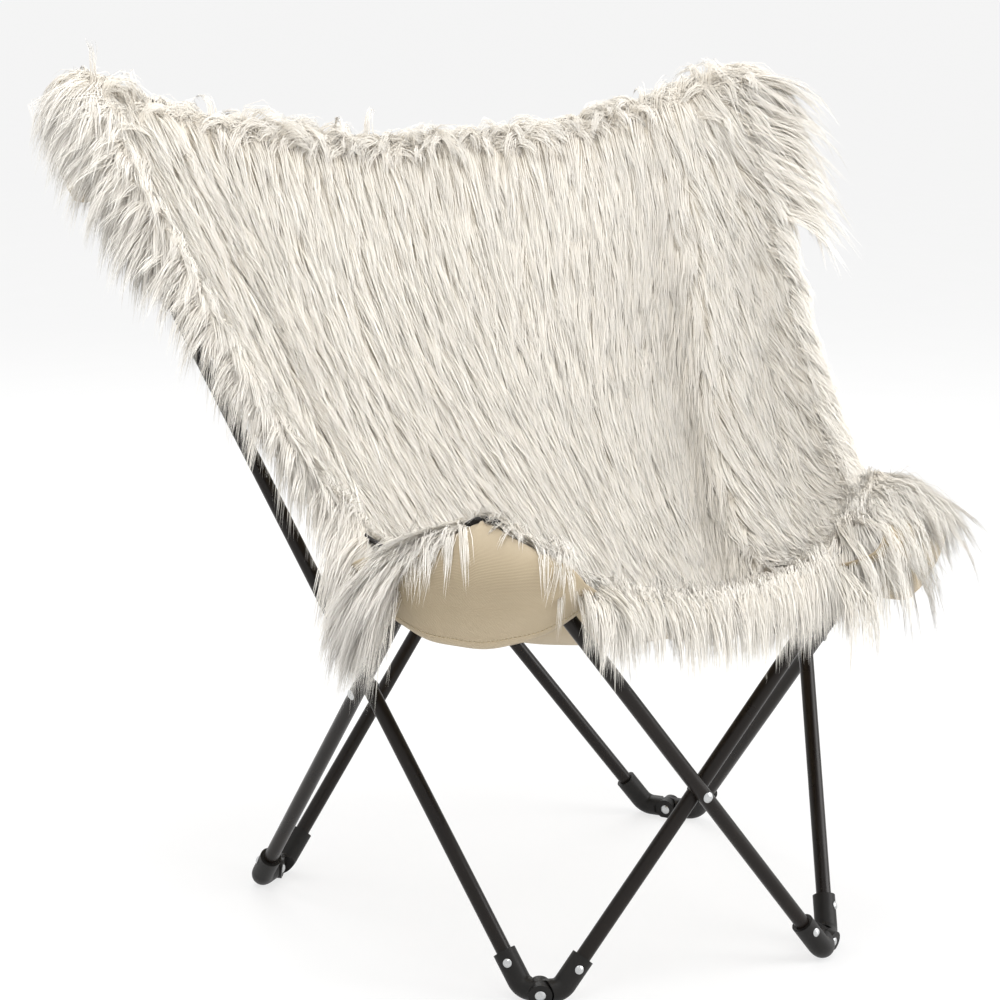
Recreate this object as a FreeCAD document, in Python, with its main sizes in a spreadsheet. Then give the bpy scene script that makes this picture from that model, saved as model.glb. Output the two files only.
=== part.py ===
import FreeCAD, Part
import math
import os

import Sketcher
from FreeCAD import Matrix, Placement, Rotation, Vector

# Folding butterfly chair: eight steel tubes in four scissor pairs, moulded elbows on both ends of every tube,
# rivets at the crossings and feet, and a lined pile sling hung on the four top corners by canvas pockets.
# +Z is up, the front faces -Y, left and right are as seen from in front.

# Driving dimensions in millimetres and degrees
SIZES = [
    ("origin_setback", 305.3, "front foot line to the origin, which lies under the middle of the chair"),
    ("front_foot_half", 172, "half the distance between the front foot hinges"),
    ("back_foot_half", 260, "half the distance between the back foot hinges"),
    ("foot_depth", 472, "front foot hinges to back foot hinges"),
    ("front_top_half", 254, "half the distance between the front corners where the tube lines meet"),
    ("front_top_y", -6, "front corners behind the front foot line"),
    ("front_top_z", 492, "height of the front corners"),
    ("back_top_half", 441, "half the distance between the back corners where the tube lines meet"),
    ("back_top_y", 613, "back corners behind the front foot line"),
    ("back_top_z", 878, "height of the back corners"),
    ("corner_arm", 25, "tube line to corner, along the elbow arm"),
    ("front_trim", 36, "front tube ends short of their corner"),
    ("back_trim", 32, "back tube ends short of their corner"),
    ("tube_od", 16, "outer diameter of the steel tube"),
    ("tube_wall", 1.0, "wall of the steel tube"),
    ("crossing_gap", 0.6, "space between the two tubes of a pair at their rivet"),
    ("elbow_od", 24, "outer diameter of the moulded elbow"),
    ("bend_radius", 16, "centre line radius of the elbow bend"),
    ("sleeve_length", 32, "straight socket part of an elbow or end cap"),
    ("socket_depth", 26, "depth of the socket bore"),
    ("socket_play", 0.1, "socket bore over tube diameter"),
    ("socket_floor_gap", 0.3, "tube end to socket floor"),
    ("foot_flat", 0.5, "depth of the worn flat under a foot elbow"),
    ("tongue_reach", 10, "hinge plane to the outer face of a foot tongue"),
    ("lap_gap", 0.4, "space between the two tongues of a foot hinge"),
    ("shoulder_gap", 1.8, "tongue end to the shoulder of the other elbow"),
    ("front_axis_turn", 25.3, "front foot hinge axis, turned from straight ahead to the side"),
    ("front_axis_tilt", -9.7, "front foot hinge axis, tilt up"),
    ("back_axis_turn", 33.1, "back foot hinge axis, turned from the side to the back"),
    ("back_axis_tilt", 6.4, "back foot hinge axis, tilt up"),
    ("hinge_rivet_d", 6, "shank of a hinge or crossing rivet"),
    ("hinge_head_d", 11, "head of a hinge or crossing rivet"),
    ("hinge_head_rise", 2.2, "dome height of a hinge or crossing rivet head"),
    ("sleeve_rivet_d", 4.5, "shank of a sleeve rivet"),
    ("sleeve_head_d", 9, "head of a sleeve rivet"),
    ("sleeve_head_rise", 1.8, "dome height of a sleeve rivet head"),
    ("sleeve_rivet_inset", 13, "sleeve rivet below the socket rim"),
    ("sleeve_rivet_tail", 3, "sleeve rivet inside the tube wall"),
    ("rivet_play", 0.1, "rivet hole over rivet diameter"),
    ("head_seat", 0.05, "rivet head to the crest of the round it sits on"),
    ("lining_thick", 1.6, "canvas lining"),
    ("layer_gap", 0.4, "lining to pile fabric"),
    ("pile_thick", 9, "pile fabric with its pile laid flat"),
    ("front_corner_out", -20.6, "front cloth corner outside the tube ends"),
    ("front_corner_rise", 49, "front cloth corner above the tube ends"),
    ("back_corner_out", 6, "back cloth corner outside the tube ends"),
    ("back_corner_rise", 46, "back cloth corner above the tube ends"),
    ("edge_front_x", 300, "side edge, pull of its front half: half width"),
    ("edge_front_y", 95, "side edge, pull of its front half: depth"),
    ("edge_front_z", 325, "side edge, pull of its front half: height"),
    ("edge_back_x", 338, "side edge, pull of its back half: half width"),
    ("edge_back_y", 330, "side edge, pull of its back half: depth"),
    ("edge_back_z", 575, "side edge, pull of its back half: height"),
    ("front_lip_y", -52, "middle of the front edge: depth"),
    ("front_lip_z", 402, "middle of the front edge: height"),
    ("seat_pull_y", 235, "seat hollow, pull of the middle line: depth"),
    ("seat_pull_z", 225, "seat hollow, pull of the middle line: height"),
    ("back_pull_y", 440, "back hollow, pull of the middle line: depth"),
    ("back_pull_z", 330, "back hollow, pull of the middle line: height"),
    ("top_lip_y", 652, "middle of the top edge: depth"),
    ("top_lip_z", 812, "middle of the top edge: height"),
    ("front_fold_share", 0.3, "wing folds at the front edge, share of a cross section from its ends"),
    ("top_fold_share", 0.16, "wing folds at the top edge, share of a cross section from its ends"),
    ("fold_depth", 16, "wing folds outside an even curve, half way up the sling"),
    ("lip_fold_depth", 3, "wing folds outside an even curve, at the front and top edges"),
    ("sling_sections", 15, "cross sections of the sling"),
    ("binding_width", 6, "edge binding beyond the cloth edge"),
    ("binding_thick", 4, "edge binding across its fold"),
    ("binding_gap", 0.8, "cloth edge to binding"),
    ("pocket_thick", 1.6, "canvas of a corner pocket"),
    ("pocket_clear", 2.6, "pocket outside the cloth that it is sewn to"),
    ("front_pocket_side", 0.28, "front pocket hem along the side edge, share of its length"),
    ("front_pocket_rim", 0.84, "front pocket hem along the front edge, share of the wing there"),
    ("back_pocket_side", 0.13, "back pocket hem along the side edge, share of its length"),
    ("back_pocket_rim", 1, "back pocket hem along the top edge, share of the wing there"),
    ("pocket_top_rise", 44, "pocket top above the tube ends"),
    ("pocket_top_out", 14, "pocket top outside the cloth corner"),
    ("pocket_top_side", 28, "pocket top outside the side edge"),
    ("pocket_top_rim", 8, "pocket top outside the front or top edge"),
    ("pocket_belly_out", 32, "pocket outside the tube ends, level with them"),
    ("pocket_belly_side", 54, "pocket outside the side edge, level with the tube ends"),
    ("pocket_belly_rim", 41, "pocket outside the front or top edge, level with the tube ends"),
    ("pocket_hem_drop", 84, "pocket hem below the tube ends"),
    ("pocket_hem_out", 14, "pocket hem outside the tube ends"),
    ("pocket_hem_side", 28, "pocket hem outside the side edge"),
    ("pocket_hem_rim", 0, "pocket hem outside the front or top edge"),
]

doc = FreeCAD.newDocument("butterfly_chair")
sheet = doc.addObject("Spreadsheet::Sheet", "Sizes")
for row, (alias, value, note) in enumerate(SIZES, start=1):
    sheet.set("A%d" % row, note)
    sheet.set("B%d" % row, str(value))
    sheet.setAlias("B%d" % row, alias)
doc.recompute()


def size(alias):
    return float(sheet.get(alias))


UP = Vector(0, 0, 1)
nodes = []


def unit(vector):
    return Vector(vector).normalize()


def mirrored(point):
    return Vector(-point.x, point.y, point.z)


def at(half_width, depth, height):
    """Point from its half width, its depth behind the front foot line and its height."""
    return Vector(half_width, depth - size("origin_setback"), height)


# Corners of the frame: foot hinges, and the points where the tube lines meet at the top
hinge_height = size("elbow_od") / 2 - size("foot_flat")
FEET = {
    "front_left": at(-size("front_foot_half"), 0, hinge_height),
    "back_left": at(-size("back_foot_half"), size("foot_depth"), hinge_height),
}
TOPS = {
    "front_left": at(-size("front_top_half"), size("front_top_y"), size("front_top_z")),
    "back_left": at(-size("back_top_half"), size("back_top_y"), size("back_top_z")),
}
for corners in (FEET, TOPS):
    for name in ("front", "back"):
        corners[name + "_right"] = mirrored(corners[name + "_left"])

# The eight tubes: foot corner, top corner, scissor side and place in the pair (1 outside, -1 inside)
RAILS = {
    "front_rail_inner": ("front_left", "front_right", "front", -1),
    "front_rail_outer": ("front_right", "front_left", "front", 1),
    "left_rail_long": ("front_left", "back_left", "left", -1),
    "left_rail_short": ("back_left", "front_left", "left", 1),
    "right_rail_long": ("front_right", "back_right", "right", -1),
    "right_rail_short": ("back_right", "front_right", "right", 1),
    "back_rail_inner": ("back_left", "back_right", "back", -1),
    "back_rail_outer": ("back_right", "back_left", "back", 1),
}
OUTWARD = {
    "front": Vector(0, -1, 0),
    "back": Vector(0, 1, 0),
    "left": Vector(-1, 0, 0),
    "right": Vector(1, 0, 0),
}


def beside_corner(corner, ring, toward):
    """Place one elbow arm away from a corner, square to its radius, on the side of another point."""
    middle = sum(ring.values(), Vector()) / len(ring)
    radius = corner - middle
    radius.z = 0
    side = unit(UP.cross(radius))
    if side.dot(toward - corner) < 0:
        side = -side
    return corner + side * size("corner_arm")


def nearest_points(first, second):
    """Nearest points of two lines and the unit vector square to both."""
    along_first = first[1] - first[0]
    along_second = second[1] - second[0]
    normal = unit(along_first.cross(along_second))
    across_second = along_second.cross(normal)
    across_first = along_first.cross(normal)
    gap = second[0] - first[0]
    on_first = first[0] + along_first * (gap.dot(across_second) / along_first.dot(across_second))
    on_second = second[0] - along_second * (gap.dot(across_first) / along_second.dot(across_first))
    return on_first, on_second, normal


# Tube centre lines, moved apart in each pair so that the tubes pass each other at the crossing rivet
lines = {}
for rail, (foot, top, side, place) in RAILS.items():
    lines[rail] = (beside_corner(FEET[foot], FEET, TOPS[top]), beside_corner(TOPS[top], TOPS, FEET[foot]))
crossings = {}
for side in OUTWARD:
    inner, outer = (rail for rail in RAILS if RAILS[rail][2] == side)
    on_inner, on_outer, normal = nearest_points(lines[inner], lines[outer])
    if normal.dot(OUTWARD[side]) < 0:
        normal = -normal
    pitch = size("tube_od") + size("crossing_gap")
    push = normal * ((pitch - (on_outer - on_inner).dot(normal)) / 2)
    for rail in (inner, outer):
        lines[rail] = tuple(point + push * RAILS[rail][3] for point in lines[rail])
    on_inner, on_outer, square = nearest_points(lines[inner], lines[outer])
    crossings[side] = ((on_inner + on_outer) / 2, normal)


def hinge_axis(corner):
    """Outward axis of a foot hinge rivet."""
    end, hand = corner.split("_")
    turn = math.radians(size(end + "_axis_turn"))
    tilt = math.radians(size(end + "_axis_tilt"))
    if end == "front":
        flat = Vector(-math.sin(turn), -math.cos(turn), 0)
    else:
        flat = Vector(-math.cos(turn), math.sin(turn), 0)
    axis = flat * math.cos(tilt) + UP * math.sin(tilt)
    return axis if hand == "left" else mirrored(axis)


def local_frame(origin, along, toward):
    """Placement with its X axis along one vector and a second vector in its XY plane."""
    x_axis = unit(along)
    z_axis = unit(x_axis.cross(toward))
    y_axis = z_axis.cross(x_axis)
    columns = zip(x_axis, y_axis, z_axis, origin)
    return Placement(Matrix(*[value for row in columns for value in row], 0, 0, 0, 1))


def facing(place, normal):
    """Sketch position at a point of the body, with the sketch normal along a vector."""
    return Placement(place, Rotation(UP, normal))


def new_body(label, placement):
    body = doc.addObject("PartDesign::Body", label)
    body.Label = label
    body.Placement = placement
    return body


def new_sketch(body, position=Placement()):
    sketch = body.newObject("Sketcher::SketchObject", body.Label + "_sketch")
    plane = next(item for item in body.Origin.OriginFeatures if item.Role == "XY_Plane")
    sketch.AttachmentSupport = (plane, [""])
    sketch.MapMode = "FlatFace"
    sketch.AttachmentOffset = position
    return sketch


def bind(sketch, kind, *arguments, to):
    """Adds a dimension to a sketch and ties it to an expression of the sheet."""
    index = sketch.addConstraint(Sketcher.Constraint(kind, *arguments))
    sketch.setExpression("Constraints[%d]" % index, to)


def circle_sketch(body, position, *diameters):
    """Concentric circles round the sketch origin, each tied to an expression of the sheet."""
    sketch = new_sketch(body, position)
    for expression in diameters:
        index = sketch.addGeometry(Part.Circle(Vector(), UP, 1))
        sketch.addConstraint(Sketcher.Constraint("Coincident", index, 3, -1, 1))
        bind(sketch, "Diameter", index, 2.0, to=expression)
    return sketch


def pad(body, sketch, length, both_sides=False):
    feature = body.newObject("PartDesign::Pad", body.Label + "_pad")
    feature.Profile = sketch
    feature.SideType = "Symmetric" if both_sides else "One side"
    if isinstance(length, str):
        feature.setExpression("Length", length)
    else:
        feature.Length = length
    return feature


def pocket(body, sketch, length=None):
    """Cut against the sketch normal, or right through both ways when no length is given."""
    feature = body.newObject("PartDesign::Pocket", body.Label + "_cut")
    feature.Profile = sketch
    if length is None:
        feature.Type = "ThroughAll"
        feature.SideType = "Symmetric"
    else:
        feature.setExpression("Length", length)
    return feature


def elbow_spine(body, arm, turn):
    """Centre line of an elbow: arm along X, tangent bend, straight socket part."""
    sketch = new_sketch(body)
    radius = size("bend_radius")
    straight = arm - radius * math.tan(turn / 2)
    centre = Vector(straight, radius, 0)
    bend_end = centre + Vector(math.sin(turn), -math.cos(turn), 0) * radius
    socket_way = Vector(math.cos(turn), math.sin(turn), 0)
    sketch.addGeometry(Part.LineSegment(Vector(), Vector(straight, 0, 0)))
    sketch.addGeometry(Part.ArcOfCircle(Part.Circle(centre, UP, radius), -math.pi / 2, turn - math.pi / 2))
    sketch.addGeometry(Part.LineSegment(bend_end, bend_end + socket_way * size("sleeve_length")))
    sketch.addConstraint(Sketcher.Constraint("Coincident", 0, 1, -1, 1))
    sketch.addConstraint(Sketcher.Constraint("Horizontal", 0))
    sketch.addConstraint(Sketcher.Constraint("Tangent", 0, 2, 1, 1))
    sketch.addConstraint(Sketcher.Constraint("Tangent", 1, 2, 2, 1))
    sketch.addConstraint(Sketcher.Constraint("Distance", 0, straight))
    sketch.addConstraint(Sketcher.Constraint("Angle", 1, turn))
    bind(sketch, "Radius", 1, radius, to="Sizes.bend_radius")
    bind(sketch, "Distance", 2, size("sleeve_length"), to="Sizes.sleeve_length")
    return sketch


def cut_socket(body, rim, way, rivet_way):
    """Tube socket of a moulding, bored from its rim, with its rivet hole; returns its floor and rivet place."""
    into = body.Placement.Rotation.inverted()
    to_local = body.Placement.inverse()
    bore = circle_sketch(
        body, facing(to_local.multVec(rim), into.multVec(way)), "Sizes.tube_od + Sizes.socket_play")
    pocket(body, bore, "Sizes.socket_depth")
    rivet_place = rim - way * size("sleeve_rivet_inset")
    outside = to_local.multVec(rivet_place + rivet_way * size("elbow_od"))
    rivet_hole = circle_sketch(
        body, facing(outside, into.multVec(rivet_way)), "Sizes.sleeve_rivet_d + Sizes.rivet_play")
    pocket(body, rivet_hole, "Sizes.elbow_od")
    return rim - way * size("socket_depth"), rivet_place


def foot_elbow(label, hinge_place, corner, way, rivet_way, hinge, keeps):
    """Moulded elbow from a foot hinge, round its corner and along the tube.

    It keeps the outer (1) or inner (-1) half of the lapped hinge and has a flat worn under it.
    """
    arm_way = corner - hinge_place
    turn = arm_way.getAngle(way)
    placement = local_frame(hinge_place, arm_way, way)
    into = placement.Rotation.inverted()
    body = new_body(label, placement)
    spine = elbow_spine(body, arm_way.Length, turn)
    ring = circle_sketch(body, facing(Vector(), Vector(1, 0, 0)), "Sizes.elbow_od")
    pipe = body.newObject("PartDesign::AdditivePipe", label + "_pipe")
    pipe.Profile = (ring, [""])
    pipe.Spine = (spine, ["Edge1", "Edge2", "Edge3"])
    axis = into.multVec(hinge) * keeps
    barrel = circle_sketch(body, facing(Vector(), axis), "Sizes.elbow_od")
    pad(body, barrel, "Sizes.elbow_od", both_sides=True)
    shoulder = "Sizes.elbow_od + 2 * Sizes.shoulder_gap"
    lap = circle_sketch(body, facing(axis * (size("lap_gap") / 2), axis), shoulder)
    pocket(body, lap, "Sizes.elbow_od")
    face = circle_sketch(body, facing(axis * size("tongue_reach"), -axis), shoulder)
    pocket(body, face, "Sizes.elbow_od")
    pin_hole = circle_sketch(body, facing(Vector(), axis), "Sizes.hinge_rivet_d + Sizes.rivet_play")
    pocket(body, pin_hole)
    under = placement.inverse().multVec(Vector(corner.x, corner.y, 0))
    ground = circle_sketch(body, facing(under, into.multVec(UP)), "8 * Sizes.elbow_od")
    pocket(body, ground, "Sizes.elbow_od")
    nodes.append(body)
    rim = corner + way * (size("bend_radius") * math.tan(turn / 2) + size("sleeve_length"))
    return cut_socket(body, rim, way, rivet_way)


def end_cap(label, dome_place, way, rivet_way):
    """Moulded cap with a domed end over the top end of a tube, which lies along the given way."""
    body = new_body(label, Placement(dome_place, Rotation(UP, way)))
    ring = circle_sketch(body, Placement(), "Sizes.elbow_od")
    pad(body, ring, "Sizes.sleeve_length")
    dome = body.newObject("PartDesign::AdditiveSphere", label + "_dome")
    dome.setExpression("Radius", "Sizes.elbow_od / 2")
    nodes.append(body)
    return cut_socket(body, dome_place + way * size("sleeve_length"), way, rivet_way)


def rivet(label, middle, axis, kind, below, above, heads=2):
    """Domed rivet whose heads sit at two distances from its middle; one head only for a half rivet."""
    body = new_body(label, Placement(middle, Rotation(UP, axis)))
    plane = new_sketch(body, Placement(Vector(), Rotation(Vector(1, 0, 0), 90)))
    shank = size(kind + "_rivet_d") / 2
    head = size(kind + "_head_d") / 2
    rise = size(kind + "_head_rise")
    outline = [Vector(0, above + rise, 0), Vector(head, above, 0), Vector(shank, above, 0), Vector(shank, -below, 0)]
    if heads == 2:
        outline += [Vector(head, -below, 0), Vector(0, -below - rise, 0)]
    else:
        outline += [Vector(0, -below, 0)]
    dome = (head * head + rise * rise) / (2 * rise)
    lean = math.asin(head / dome)
    half_turn = math.pi / 2
    upper = Part.Circle(Vector(0, above + rise - dome, 0), UP, dome)
    plane.addGeometry(Part.ArcOfCircle(upper, half_turn - lean, half_turn))
    for first, second in zip(outline[1:], outline[2:] if heads == 1 else outline[2:-1]):
        plane.addGeometry(Part.LineSegment(first, second))
    if heads == 2:
        lower = Part.Circle(Vector(0, dome - below - rise, 0), UP, dome)
        plane.addGeometry(Part.ArcOfCircle(lower, -half_turn, lean - half_turn))
    plane.addGeometry(Part.LineSegment(outline[-1], outline[0]))
    shank_line = 2
    bind(plane, "DistanceX", -1, 1, shank_line, 1, shank, to="Sizes.%s_rivet_d / 2" % kind)
    turned = body.newObject("PartDesign::Revolution", label + "_turned")
    turned.Profile = plane
    turned.ReferenceAxis = (plane, ["V_Axis"])
    turned.Angle = 360
    return body


def tube(label, start, end, holes):
    """Steel tube with its holes, each given by its place, axis and diameter and whether it goes right through."""
    way = unit(end - start)
    placement = Placement(start, Rotation(UP, way))
    body = new_body(label, placement)
    ring = circle_sketch(body, Placement(), "Sizes.tube_od", "Sizes.tube_od - 2 * Sizes.tube_wall")
    pad(body, ring, (end - start).Length)
    for place, axis, diameter, through in holes:
        along = placement.inverse().multVec(place).z
        outward = placement.Rotation.inverted().multVec(axis)
        outside = Vector(0, 0, along) + outward * size("tube_od")
        pocket(body, circle_sketch(body, facing(outside, outward), diameter), "Sizes.tube_od * %d" % (1 + through))
    nodes.append(body)


def square_to(axis, way):
    """Part of an axis that is square to a tube."""
    return unit(axis - way * axis.dot(way))


# Top ends of the tubes, and the middle of each pair of them, which a pocket slips over
trims = {"front": size("front_trim"), "back": size("back_trim")}
top_ends = {}
for rail, (foot, top, side, place) in RAILS.items():
    low, high = lines[rail]
    top_ends[rail] = high - unit(high - low) * trims[top.split("_")[0]]
tips = {}
for corner in TOPS:
    pair = [top_ends[rail] for rail in RAILS if RAILS[rail][1] == corner]
    tips[corner] = (pair[0] + pair[1]) / 2

# Tubes with their foot elbows, end caps and sleeve rivets
half_pitch = (size("tube_od") + size("crossing_gap")) / 2
for rail, (foot, top, side, place) in RAILS.items():
    low, high = lines[rail]
    way = unit(high - low)
    axis = hinge_axis(foot)
    foot_rivet_way = square_to(axis, way)
    top_rivet_way = square_to(OUTWARD[side], way)
    keeps = 1 if side in ("left", "right") else -1
    foot_floor, foot_rivet = foot_elbow(rail + "_foot_elbow", FEET[foot], low, way, foot_rivet_way, axis, keeps)
    top_floor, top_rivet = end_cap(rail + "_top_cap", top_ends[rail], -way, top_rivet_way)
    crossing, crossing_way = crossings[side]
    hole = "Sizes.sleeve_rivet_d + Sizes.rivet_play"
    slack = way * size("socket_floor_gap")
    tube(rail, foot_floor + slack, top_floor - slack, [
        (foot_rivet, foot_rivet_way, hole, False),
        (crossing, crossing_way, "Sizes.hinge_rivet_d + Sizes.rivet_play", True),
        (top_rivet, top_rivet_way, hole, False),
    ])
    seat = size("elbow_od") / 2 + size("head_seat")
    tail = size("tube_wall") + size("sleeve_rivet_tail") - size("tube_od") / 2
    pair = doc.addObject("Part::Compound", rail + "_sleeve_rivets")
    pair.Label = rail + "_sleeve_rivets"
    pair.Links = [
        rivet(rail + "_foot_sleeve_rivet", foot_rivet, foot_rivet_way, "sleeve", tail, seat, heads=1),
        rivet(rail + "_top_sleeve_rivet", top_rivet, top_rivet_way, "sleeve", tail, seat, heads=1),
    ]
    nodes.append(pair)

# Foot hinge rivets through the two lapped tongues
hinge_seat = size("tongue_reach") + size("head_seat")
for corner, place in FEET.items():
    nodes.append(rivet(corner + "_foot_rivet", place, hinge_axis(corner), "hinge", hinge_seat, hinge_seat))

# Crossing rivets; the back one is parted between its two tubes
crossing_seat = size("tube_od") + size("crossing_gap") / 2 + size("head_seat")
for side in ("front", "left", "right"):
    place, axis = crossings[side]
    nodes.append(rivet(side + "_pivot_rivet", place, axis, "hinge", crossing_seat, crossing_seat))
place, axis = crossings["back"]
parting = size("crossing_gap") / 2
for name, way in (("outer", axis), ("inner", -axis)):
    nodes.append(rivet("back_pivot_rivet_" + name, place, way, "hinge", -parting, crossing_seat, heads=1))


def cubic(points, share):
    """Point of a cubic curve drawn by its four pull points."""
    rest = 1 - share
    weights = (rest ** 3, 3 * share * rest ** 2, 3 * share ** 2 * rest, share ** 3)
    return sum((point * weight for point, weight in zip(points, weights)), Vector())


def outward_of(corner):
    middle = sum(TOPS.values(), Vector()) / len(TOPS)
    radius = TOPS[corner] - middle
    radius.z = 0
    return unit(radius)


def cloth_corner(corner):
    end = corner.split("_")[0]
    rise = UP * size(end + "_corner_rise")
    return tips[corner] + outward_of(corner) * size(end + "_corner_out") + rise


# Side edge and middle line of the sling, from the front edge to the top edge
side_edge = [
    cloth_corner("front_left"),
    at(-size("edge_front_x"), size("edge_front_y"), size("edge_front_z")),
    at(-size("edge_back_x"), size("edge_back_y"), size("edge_back_z")),
    cloth_corner("back_left"),
]
middle_line = [
    at(0, size("front_lip_y"), size("front_lip_z")),
    at(0, size("seat_pull_y"), size("seat_pull_z")),
    at(0, size("back_pull_y"), size("back_pull_z")),
    at(0, size("top_lip_y"), size("top_lip_z")),
]


class Arc:
    """Circular arc through three points, with places and offsets in its own plane."""

    def __init__(self, start, middle, end):
        self.edge = Part.Arc(start, middle, end).toShape()
        self.centre = self.edge.Curve.Center
        self.points = (start, middle, end)
        self.normal = unit((middle - start).cross(end - middle))

    def at(self, share):
        first, last = self.edge.ParameterRange
        return self.edge.valueAt(first + (last - first) * share)

    def outward(self, point):
        return unit(point - self.centre)


class Section:
    """Cross section of cloth: arcs end to end in one plane, which meet at folds."""

    def __init__(self, *arcs):
        self.arcs = arcs
        self.start = arcs[0].points[0]
        self.end = arcs[-1].points[2]
        self.middle = arcs[len(arcs) // 2].points[1]
        self.normal = arcs[0].normal

    def side(self, distance):
        """The arcs moved outward by a distance, still meeting at the folds."""
        ways = [arc.outward(arc.points[0]) for arc in self.arcs]
        ends = [arc.outward(arc.points[2]) for arc in self.arcs]
        starts = [self.start + ways[0] * distance]
        for before, after, arc in zip(ends, ways[1:], self.arcs[1:]):
            between = unit(before + after)
            starts.append(arc.points[0] + between * (distance / between.dot(after)))
        starts.append(self.end + ends[-1] * distance)
        middles = [arc.points[1] + arc.outward(arc.points[1]) * distance for arc in self.arcs]
        return [Part.Arc(*points).toShape() for points in zip(starts, middles, starts[1:])]

    def band(self, inside, outside):
        """Closed wire between two offsets of the section."""
        near = self.side(inside)
        far = self.side(outside)
        caps = [
            Part.makeLine(near[-1].lastVertex().Point, far[-1].lastVertex().Point),
            Part.makeLine(far[0].firstVertex().Point, near[0].firstVertex().Point),
        ]
        return Part.Wire(near + caps[:1] + far[::-1] + caps[1:])


def sling_section(share):
    """Cross section of the sling: a middle panel and two wings, parted by folds."""
    edge = cubic(side_edge, share)
    even = Arc(edge, cubic(middle_line, share), mirrored(edge))
    fold_share = size("front_fold_share") + (size("top_fold_share") - size("front_fold_share")) * share
    on_even = even.at(fold_share)
    lip = size("lip_fold_depth")
    depth = lip + (size("fold_depth") - lip) * math.sin(math.pi * share)
    fold = on_even + even.outward(on_even) * depth
    on_wing = even.at(fold_share / 2)
    wing_middle = on_wing + even.outward(on_wing) * (depth / 3)
    return Section(
        Arc(edge, wing_middle, fold),
        Arc(fold, even.points[1], mirrored(fold)),
        Arc(mirrored(fold), mirrored(wing_middle), mirrored(edge)))


def shape_node(label, shape):
    feature = doc.addObject("Part::Feature", label)
    feature.Label = label
    feature.Shape = shape
    nodes.append(feature)


section_count = int(size("sling_sections"))
sections = [sling_section(index / (section_count - 1)) for index in range(section_count)]


def sling_layer(inside, outside):
    return Part.makeLoft([section.band(inside, outside) for section in sections], True)


# Pile fabric on the hollow side of the sling, canvas lining on its underside
shape_node("fur_cover", sling_layer(-size("pile_thick"), 0))
lining_start = size("layer_gap")
shape_node("canvas_lining", sling_layer(lining_start, lining_start + size("lining_thick")))


# Binding folded over the cloth edge: two side lengths that follow the side edges, a front and a top length
def side_binding(last):
    outlines = []
    for section in sections:
        arc = section.arcs[-last]
        edge = section.end if last else section.start
        thick = arc.outward(edge)
        away = unit(thick.cross(arc.normal))
        if away.dot(edge - arc.points[1]) < 0:
            away = -away
        near = edge + away * size("binding_gap") - thick * (size("binding_thick") / 2)
        far = near + away * size("binding_width")
        tall = thick * size("binding_thick")
        outlines.append(Part.makePolygon([near, far, far + tall, near + tall, near]))
    return Part.makeLoft(outlines, True)


def end_binding(section, neighbour):
    away = section.normal
    if away.dot(section.middle - neighbour.middle) < 0:
        away = -away
    half = size("binding_thick") / 2
    face = Part.Face(section.band(-half, half))
    face.translate(away * size("binding_gap"))
    return face.extrude(away * size("binding_width"))


shape_node("edge_binding", Part.makeCompound([
    side_binding(0),
    side_binding(1),
    end_binding(sections[0], sections[1]),
    end_binding(sections[-1], sections[-2]),
]))


# Canvas pockets: each a curved panel outside a pair of tube ends, from the cloth corner down to its hem.
# Three arcs draw a panel; each runs from beside the side edge, round the tube ends, to beside the front or top edge.
POCKET_ARCS = {"top": 0.15, "belly": 0.6, "hem": 1}


def beyond(arc, point, way, distance):
    return point + arc.outward(point) * size("pocket_clear") + way * distance


def left_pocket(end):
    corner = end + "_left"
    out = outward_of(corner)
    front = end == "front"
    rim = (sections[0] if front else sections[-1]).arcs[0]
    ways = {name: size("pocket_%s_out" % name) for name in POCKET_ARCS}
    ways["top"] += size(end + "_corner_out")
    levels = {"top": size("pocket_top_rise"), "belly": 0, "hem": -size("pocket_hem_drop")}
    outlines = []
    for name, share in POCKET_ARCS.items():
        along = share * size(end + "_pocket_side")
        side = sling_section(along if front else 1 - along).arcs[0]
        on_side = beyond(side, side.points[0], OUTWARD["left"], size("pocket_%s_side" % name))
        on_rim = rim.at(share * size(end + "_pocket_rim"))
        on_rim = beyond(rim, on_rim, OUTWARD[end], size("pocket_%s_rim" % name))
        belly = tips[corner] + out * ways[name] + UP * levels[name]
        outlines.append(Section(Arc(on_side, belly, on_rim)).band(0, size("pocket_thick")))
    return Part.makeLoft(outlines, True)


for end in ("front", "back"):
    panel = left_pocket(end)
    shape_node(end + "_left_pocket", panel)
    shape_node(end + "_right_pocket", panel.mirror(Vector(), OUTWARD["right"]))

doc.recompute()
for item in doc.Objects:
    if "Invalid" in item.State or "Error" in item.State:
        raise RuntimeError("%s did not build: %s" % (item.Label, item.State))
for node in nodes:
    if node.Shape.isNull() or not node.Shape.isValid():
        raise RuntimeError(node.Label + " has no valid shape")
os.makedirs("parts", exist_ok=True)
for node in nodes:
    node.Shape.exportStep(os.path.join("parts", node.Label + ".step"))
box = Part.makeCompound([node.Shape for node in nodes]).BoundBox
print("%d nodes, %.0f x %.0f x %.0f mm" % (len(nodes), box.XLength, box.YLength, box.ZLength))
print("middle of the box in depth: %.1f, lowest point: %.3f" % ((box.YMin + box.YMax) / 2, box.ZMin))
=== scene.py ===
import math

import bpy
import numpy as np
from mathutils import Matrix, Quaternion, Vector


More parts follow.
